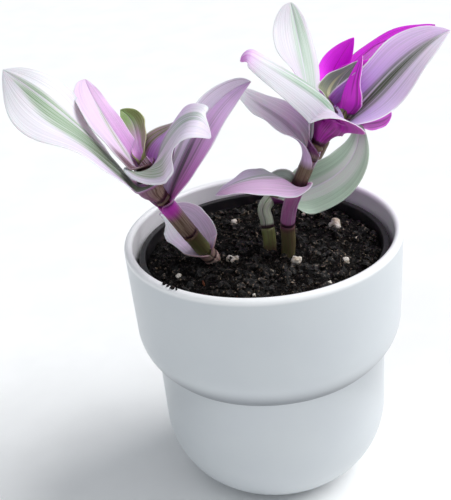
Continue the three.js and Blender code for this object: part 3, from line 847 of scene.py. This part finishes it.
def stem_material(shoot):
    """Olive and brown skin in streaks, with its colours in turn along the shoot."""
    skin = Skin(f"stem_{shoot}", seed=2.0)
    stops = STEM_COLOURS[shoot]
    turns = skin.node("ValToRGB", skin.along)
    elements = turns.color_ramp.elements
    while len(elements) < len(stops):
        elements.new(1.0)
    for element, (distance, colour) in zip(elements, stops):
        element.position = min(distance / STEMS[shoot].length, 1.0)
        element.color = colour
    colour = skin.mix(skin.ramp(skin.broad, 0.45, 0.65, 0.0, 0.5), turns.outputs[0], BROWN)
    return skin.finish(skin.mix(skin.ramp(skin.fine, 0.5, 0.7, 0.0, 0.35), colour, DEEP_GREEN))


# Heights and distances from the pot's axis between which its glaze changes, in millimetres: the rim and the
# wall inside it carry a painted highlight, and a painted shade reaches this far above the crease.
GLAZE = SimpleNamespace(
    rim=(107.5, 109.5), inner_height=(85, 95), inner_radius=(52, 53), painted_shade_above_crease=11,
)


def glaze_span(shade, value, span, *levels):
    """The ramp of a place in metres over a span in millimetres."""
    low, high = span
    return shade.ramp(value, low * MM, high * MM, *levels)


def ceramic_material():
    """White satin glaze with the faintest speckle. A painted highlight makes it a little brighter on the rim
    and inside it, and a painted shade lies in soft grey on the upper tier's round, just above the crease."""
    shade = Shade("ceramic")
    place = shade.place()
    x, y, z = shade.split(place)
    radius = shade.math("SQRT", shade.math("ADD", shade.times(x, x), shade.times(y, y)))
    cloud = shade.noise(place, scale=40, detail=4)
    speck = shade.noise(place, scale=900, detail=2)
    colour = shade.mix(shade.ramp(cloud, 0.3, 0.7), rgb(206, 211, 215), rgb(209, 214, 217))
    colour = shade.mix(shade.ramp(speck, 0.72, 0.8, 0.0, 0.2), colour, rgb(205, 206, 208))
    # Painted shade: a soft grey on the upper tier's round just above the crease, fading upwards.
    crease = crease_height()
    above = glaze_span(shade, z, (crease - 0.2, crease))
    painted_shade_fade = glaze_span(shade, z, (crease, crease + GLAZE.painted_shade_above_crease), 0.9, 0.0)
    colour = shade.mix(shade.times(above, painted_shade_fade), colour, rgb(108, 112, 119))
    # Painted highlight: the rim and the wall inside it are lighter than the rest of the glaze.
    within = glaze_span(shade, radius, GLAZE.inner_radius, 1.0, 0.0)
    inside = shade.times(within, glaze_span(shade, z, GLAZE.inner_height))
    painted_highlight = shade.math("MAXIMUM", glaze_span(shade, z, GLAZE.rim), inside)
    colour = shade.mix(painted_highlight, colour, rgb(250, 251, 252))
    shade.look(
        base_color=colour, roughness=shade.ramp(cloud, 0.3, 0.7, 0.3, 0.38), specular_ior_level=0.5,
        coat_weight=0.15, coat_roughness=0.3,
    )
    shade.bump(shade.noise(place, scale=45, detail=1), depth=0.1)
    return shade.material


def plastic_material():
    """Thin black plastic, with peat dust on it."""
    shade = Shade("nursery_plastic")
    place = shade.place()
    dust = shade.noise(place, scale=260, detail=5)
    colour = shade.mix(shade.ramp(dust, 0.5, 0.75), rgb(30, 29, 32), rgb(58, 50, 46))
    shade.look(base_color=colour, roughness=shade.ramp(dust, 0.3, 0.7, 0.38, 0.6))
    shade.bump(shade.noise(place, scale=700, detail=2), depth=0.05)
    return shade.material


def peat_material(name, dark, light, gloss=0.12):
    """Moist dark peat, with brown and near-black flecks."""
    shade = Shade(name)
    place = shade.place()
    fleck = shade.noise(place, scale=900, detail=5, roughness=0.65)
    patch = shade.noise(place, scale=140, detail=3)
    colour = shade.mix(shade.ramp(fleck, 0.54, 0.7), dark, light)
    colour = shade.mix(shade.ramp(patch, 0.4, 0.7, 0.0, 0.6), colour, rgb(8, 6, 6))
    roughness = shade.ramp(fleck, 0.35, 0.65, 0.85, 0.32)
    shade.look(base_color=colour, roughness=roughness, specular_ior_level=gloss)
    shade.bump(fleck, depth=0.6)
    return shade.material


def perlite_material():
    """Porous white grain, stained by the peat in its hollows."""
    shade = Shade("perlite")
    place = shade.place()
    pores = shade.cells(place, 1400)
    stain = shade.noise(place, scale=420, detail=4)
    colour = shade.mix(shade.ramp(stain, 0.35, 0.65), rgb(240, 234, 224), rgb(196, 180, 160))
    colour = shade.mix(shade.ramp(pores, 0.0, 0.25, 0.5, 0.0), colour, rgb(120, 104, 90))
    shade.look(base_color=colour, roughness=0.85)
    shade.bump(pores, depth=0.3)
    return shade.material


# -------------------- pots


def crease_angle(inset=0):
    """The angle along the upper tier's round at which it meets the lower tier."""
    inner = POT.upper_round_inner
    return asin((POT.waist_radius - inset - inner) / (POT.upper_wall_radius - inset - inner))


def crease_height():
    return POT.waist_height + POT.upper_round_height * (1 - cos(crease_angle()))


def quarter_ellipse(inner, outer, bottom, height, start=0.0):
    """Points of a quarter ellipse in (radius, height), from its foot, or from the angle start."""
    points = []
    for i in range(POT.round_steps + 1):
        angle = lerp(start, pi / 2, i / POT.round_steps)
        points.append((inner + (outer - inner) * sin(angle), bottom + height * (1 - cos(angle))))
    return points


def pot_wall(inset, bottom):
    """One face of the pot's wall from foot to rim, at inset from the outer face."""
    lower = quarter_ellipse(
        POT.lower_round_inner, POT.lower_wall_radius - inset, bottom, POT.lower_round_height - bottom
    )
    upper = quarter_ellipse(
        POT.upper_round_inner, POT.upper_wall_radius - inset,
        POT.waist_height, POT.upper_round_height, crease_angle(inset),
    )
    return lower + upper


def ceramic_pot():
    """The cover pot, turned in one outline over its outside, its full-round rim and its inside."""
    lip = POT.wall / 2
    rim_radius, rim_height = POT.rim_radius - lip, POT.height - lip
    rim = []
    for i in range(POT.lip_steps + 1):
        angle = pi * i / POT.lip_steps
        rim.append((rim_radius + lip * cos(angle), rim_height + lip * sin(angle)))
    outside = [(AXIS, 0), *pot_wall(0, 0)]
    inside = [*reversed(pot_wall(POT.wall, POT.floor)), (AXIS, POT.floor)]
    points, faces = turned([*outside, *rim, *inside], POT.sides)
    add_piece("ceramic_pot", points, faces, ceramic_material(), "ceramic", ["pot"])


def plastic_pot():
    """The nursery pot, of which the rim shows above the peat."""
    top, under = NURSERY.rim_height, NURSERY.rim_height - NURSERY.rim_depth
    outer, inner = NURSERY.rim_radius, NURSERY.top_radius - NURSERY.wall
    foot, foot_inside = NURSERY.bottom_radius, NURSERY.bottom_radius - NURSERY.wall
    floor, floor_top = NURSERY.bottom_height, NURSERY.bottom_height + NURSERY.wall
    bevel, corner = NURSERY.bevel, CORNER * NURSERY.bevel
    start = (inner, top - 4 * bevel)
    lip = [
        (inner, top - bevel), (inner + corner, top - corner), (inner + bevel, top),
        (outer - bevel, top), (outer - corner, top - corner), (outer, top - bevel),
    ]
    outside = [(outer, under), (NURSERY.top_radius, under), (foot, floor), (AXIS, floor)]
    inside = [(AXIS, floor_top), (foot_inside, floor_top), (inner, under)]
    loop = [start, *lip, *outside, *inside, start]
    points, faces = turned(loop[::-1], NURSERY.sides)
    material = plastic_material()
    add_piece("plastic_pot", points, faces, material, "nursery_plastic", ["nursery_pot"], smooth=False)


# -------------------- peat and what lies on it

# Heights of the peat's unevenness: the last two are the scene's own.
RELIEF = SimpleNamespace(broad=0.6, fine=0.4, clods=1.3, crumbs=0.6)

# How grains are strewn: reach is how far out they lie, forward is how far they are then moved to the
# front, size and large hold the least and the greatest of the small and of the large ones, spread is
# how uneven their sides are, and lift is how high they lie, in shares of their size.
CRUMBS = dict(
    count=1500, reach=45.5, forward=0, size=(0.35, 0.8), large=(0.8, 2.2), small_share=0.8,
    spread=(0.6, 1.2), lift=0.3, detail=1,
)
CLODS = dict(
    count=70, reach=30, forward=12, size=(1.2, 2.6), large=None,
    spread=(0.7, 1.2), lift=-0.1, detail=2,
)
FIBRES = SimpleNamespace(
    count=420, reach=40, length=(2, 7), girth=(0.09, 0.2), steps=6, lift=0.25, arch=0.5, bend=0.5,
)

# Perlite: x, y and radius of each grain. The first three are one large grain in three lobes.
PERLITE = (
    (-13.8, -2.6, 1.5), (-11.4, -2.4, 1.4), (-12.4, -4.4, 1.3), (12.3, -8.8, 1.9), (30.1, 18, 2.4),
    (31.5, -11.8, 1.4), (2.1, -16, 0.9), (8.6, -17.9, 0.7), (-3.3, -2, 0.8), (-11.7, 28.2, 1.5),
    (-33.6, -15.2, 1.2), (-4.9, -32.7, 0.7), (23.8, -28, 0.8), (-27, 24, 1), (18, 33, 0.9), (38, 8, 0.8),
)

# Bark: x, y and the half sizes of a chip and of two shreds, near the front.
BARK = ((-9.8, -31.9, (2.6, 1.1, 0.5)), (22, -31, (1.6, 0.7, 0.4)), (-24, -22, (1.4, 0.6, 0.4)))
BARK_LIFT = 0.6

# Crumbs that fell on the pot's rim: x, y and radius.
RIM_CRUMBS = ((-37.2, -38, 0.8), (-34.1, -41.4, 0.8), (-35.7, -39.7, 0.55), (-32.6, -42.6, 0.4))


def peat_level(x, y):
    """The surface's height: the solid's own lumps, with clods and crumbs of the peat added."""
    broad = sin(x * 0.11 + 0.6) * cos(y * 0.13 - 0.4)
    fine = sin(x * 0.37 + y * 0.21) * sin(y * 0.41 - x * 0.17 + 1.2)
    clods = noise.fractal(Vector((x * 0.3, y * 0.3, 1.7)), 1.0, 2.0, 4)
    crumbs = noise.noise(Vector((x * 1.1, y * 1.1, 5.1)))
    own = SOIL.lump * (RELIEF.broad * broad + RELIEF.fine * fine)
    return SOIL.height + own + RELIEF.clods * clods + RELIEF.crumbs * crumbs


def peat_body():
    """The peat as rings of points from its middle to its edge, down to its floor."""
    rings, sides = SOIL.rings, SOIL.sides
    angles = [2 * pi * j / sides for j in range(sides)]
    points, faces = [(0, 0, peat_level(0, 0))], []
    for ring in range(1, rings + 1):
        radius = SOIL.radius * ring / rings
        for angle in angles:
            x, y = radius * cos(angle), radius * sin(angle)
            points.append((x, y, peat_level(x, y)))
    foot = SOIL.floor_radius
    points.extend((foot * cos(angle), foot * sin(angle), SOIL.floor) for angle in angles)
    for j in range(sides):
        k = (j + 1) % sides
        faces.append((0, 1 + j, 1 + k))
        for ring in range(rings):
            a, b = 1 + ring * sides, 1 + (ring + 1) * sides
            faces.append((a + j, b + j, b + k, a + k))
    faces.append(tuple(1 + rings * sides + j for j in reversed(range(sides))))
    add_piece("peat", points, faces, peat_material("peat", rgb(3, 2, 2), rgb(78, 68, 60)), "peat", ["soil"])


def rough_ball(detail):
    """Points and faces of a ball of radius 1, for the grains."""
    shape = bmesh.new()
    bmesh.ops.create_icosphere(shape, subdivisions=detail, radius=1)
    points = np.array([vertex.co for vertex in shape.verts])
    faces = [tuple(vertex.index for vertex in face.verts) for face in shape.faces]
    shape.free()
    return points, faces


BALLS = {detail: rough_ball(detail) for detail in (1, 2, 3)}


def lump(place, sizes, detail, roughness):
    """One rough grain: a ball with its surface pushed in and out, stretched and turned at random."""
    ball, faces = BALLS[detail]
    seed = Vector([random.uniform(0, 50) for _ in range(3)])
    pushed = [1 + roughness * noise.fractal(Vector(p) * 1.3 + seed, 1.0, 2.0, 3) for p in ball]
    turn = np.array(Matrix.Rotation(random.uniform(0, 6.3), 3, Vector((random.random(), random.random(), 1))))
    points = (ball * np.array(pushed)[:, None] * np.array(sizes)) @ turn.T + np.array(place)
    return points, faces


def joined(lumps):
    """Several sets of points and faces as one."""
    points, faces = [], []
    for own_points, own_faces in lumps:
        first = len(points)
        points.extend(own_points)
        faces.extend(tuple(first + i for i in face) for face in own_faces)
    return points, faces


def uneven(size, low, high):
    """Three half sizes, each this size times a random share."""
    return [size * random.uniform(low, high) for _ in range(3)]


def random_spot(reach):
    radius, angle = reach * sqrt(random.random()), random.uniform(0, 2 * pi)
    return radius * cos(angle), radius * sin(angle)


def strewn(count, reach, forward, size, large, spread, lift, detail, small_share=1):
    """Grains half sunk into the peat at random places, which may lie further forward."""
    grains = []
    for _ in range(count):
        x, y = random_spot(reach)
        y -= forward
        is_large = large and random.random() >= small_share
        radius = random.uniform(*(large if is_large else size))
        sizes = uneven(radius, *spread)
        grains.append(lump((x, y, peat_level(x, y) + lift * radius), sizes, detail, roughness=0.9))
    return joined(grains)


def crumbs():
    """Loose crumbs. A few are large."""
    material = peat_material("crumbs", rgb(4, 3, 3), rgb(176, 152, 128), gloss=0.4)
    add_piece("peat_crumbs", *strewn(**CRUMBS), material, "peat", ["soil"], smooth=False)


def clods():
    """Larger moist clods, most of them near the front."""
    material = peat_material("clods", rgb(3, 2, 2), rgb(128, 108, 92), gloss=0.4)
    add_piece("peat_clods", *strewn(**CLODS), material, "peat", ["soil"], smooth=False)


def fibre(x, y):
    """One thin root fibre that lies along the peat, as a three-sided tube."""
    heading, length = random.uniform(0, 2 * pi), random.uniform(*FIBRES.length)
    girth = random.uniform(*FIBRES.girth)
    steps = FIBRES.steps
    points = []
    for i in range(steps + 1):
        arch = FIBRES.arch * sin(pi * i / steps) * random.uniform(0.3, 1)
        centre = np.array((x, y, peat_level(x, y) + FIBRES.lift + arch))
        for j in range(3):
            angle = 2 * pi * j / 3
            across = np.array((-sin(heading), cos(heading), 0)) * cos(angle)
            points.append(centre + girth * (across + np.array((0, 0, sin(angle)))))
        heading += random.uniform(-FIBRES.bend, FIBRES.bend)
        x, y = x + length / steps * cos(heading), y + length / steps * sin(heading)
    return points, tube_faces(steps, 3)


def fibres():
    tubes = [fibre(*random_spot(FIBRES.reach)) for _ in range(FIBRES.count)]
    material = peat_material("fibres", rgb(34, 27, 23), rgb(100, 84, 72))
    add_piece("peat_fibres", *joined(tubes), material, "peat", ["soil"])


def perlite():
    lumps = []
    for x, y, radius in PERLITE:
        sizes = uneven(radius, 0.85, 1.15)
        lumps.append(lump((x, y, peat_level(x, y) + 0.45 * radius), sizes, detail=3, roughness=0.45))
    add_piece("perlite", *joined(lumps), perlite_material(), "peat")


def bark():
    chips = []
    for x, y, sizes in BARK:
        chips.append(lump((x, y, peat_level(x, y) + BARK_LIFT), sizes, detail=2, roughness=0.5))
    material = peat_material("bark", rgb(92, 52, 34), rgb(150, 100, 70))
    add_piece("bark_chips", *joined(chips), material, "peat", smooth=False)


def rim_crumbs():
    lumps = []
    for x, y, radius in RIM_CRUMBS:
        sizes = uneven(radius, 0.8, 1.3)
        lumps.append(lump((x, y, POT.height + 0.4 * radius), sizes, detail=2, roughness=0.7))
    material = peat_material("fallen_peat", rgb(20, 16, 14), rgb(60, 48, 40))
    add_piece("fallen_crumbs", *joined(lumps), material, "peat", smooth=False)


# -------------------- camera, light and floor

# The camera's place in metres. Its heading is turned from +Y towards -X, and it looks down by its dip.
CAMERA = SimpleNamespace(place=(0, -0.38, 0.3015), heading=2.3, dip=27.6, roll=-5.5, lens=77.5, sensor=36)

# Large soft lights, far away. An azimuth is turned from the right (+X) towards the back (+Y).
SUNS = dict(
    window=dict(azimuth=10, elevation=45, softness=50, strength=2.8),
    fill=dict(azimuth=-95, elevation=60, softness=60, strength=0.6),
)
SKY = SimpleNamespace(colour=(0.86, 0.93, 1.0, 1.0), strength=0.32)
FLOOR_REACH = 6  # in metres, to each side


def camera():
    lens = bpy.data.cameras.new("camera")
    lens.sensor_width = CAMERA.sensor
    lens.lens = CAMERA.lens
    lens.clip_start = 0.01
    holder = bpy.data.objects.new("camera", lens)
    heading = Matrix.Rotation(radians(CAMERA.heading), 4, "Z")
    tilt = Matrix.Rotation(radians(90 - CAMERA.dip), 4, "X")
    roll = Matrix.Rotation(radians(CAMERA.roll), 4, "Z")
    holder.matrix_world = Matrix.Translation(CAMERA.place) @ heading @ tilt @ roll
    bpy.context.scene.collection.objects.link(holder)
    bpy.context.scene.camera = holder


def sun(name, azimuth, elevation, softness, strength):
    light = bpy.data.lights.new(name, "SUN")
    light.angle = radians(softness)
    light.energy = strength
    flat, turn = cos(radians(elevation)), radians(azimuth)
    towards = Vector((flat * cos(turn), flat * sin(turn), sin(radians(elevation))))
    holder = bpy.data.objects.new(name, light)
    holder.rotation_euler = (-towards).to_track_quat("-Z", "Y").to_euler()
    bpy.context.scene.collection.objects.link(holder)


def sky():
    world = bpy.data.worlds.new("studio")
    world.use_nodes = True
    background = world.node_tree.nodes["Background"]
    background.inputs["Color"].default_value = SKY.colour
    background.inputs["Strength"].default_value = SKY.strength
    bpy.context.scene.world = world
    bpy.context.scene.view_settings.view_transform = "Standard"


def pale_floor():
    shade = Shade("floor")
    grain = shade.noise(shade.place(), scale=30, detail=3)
    colour = shade.mix(shade.ramp(grain, 0.3, 0.7), rgb(246, 246, 246), rgb(250, 250, 250))
    shade.look(base_color=colour, roughness=0.9)
    mesh = bpy.data.meshes.new("floor")
    corners = [(-1, -1), (1, -1), (1, 1), (-1, 1)]
    mesh.from_pydata([(FLOOR_REACH * x, FLOOR_REACH * y, 0) for x, y in corners], [], [(0, 1, 2, 3)])
    mesh.materials.append(shade.material)
    floor = bpy.data.objects.new("floor", mesh)
    bpy.context.scene.collection.objects.link(floor)


# -------------------- the whole scene

camera()
sky()
for name, light in SUNS.items():
    sun(name, **light)
pale_floor()
ceramic_pot()
plastic_pot()
peat_body()
crumbs()
clods()
fibres()
perlite()
bark()
rim_crumbs()
for shoot, stem in STEMS.items():
    nest_sheaths(LEAVES[shoot], stem)
    stem_piece(shoot, stem)
    for i, leaf in enumerate(LEAVES[shoot]):
        leaf_piece(f"{shoot}_{i + 1}", leaf, stem, phase=random.uniform(0, 6))
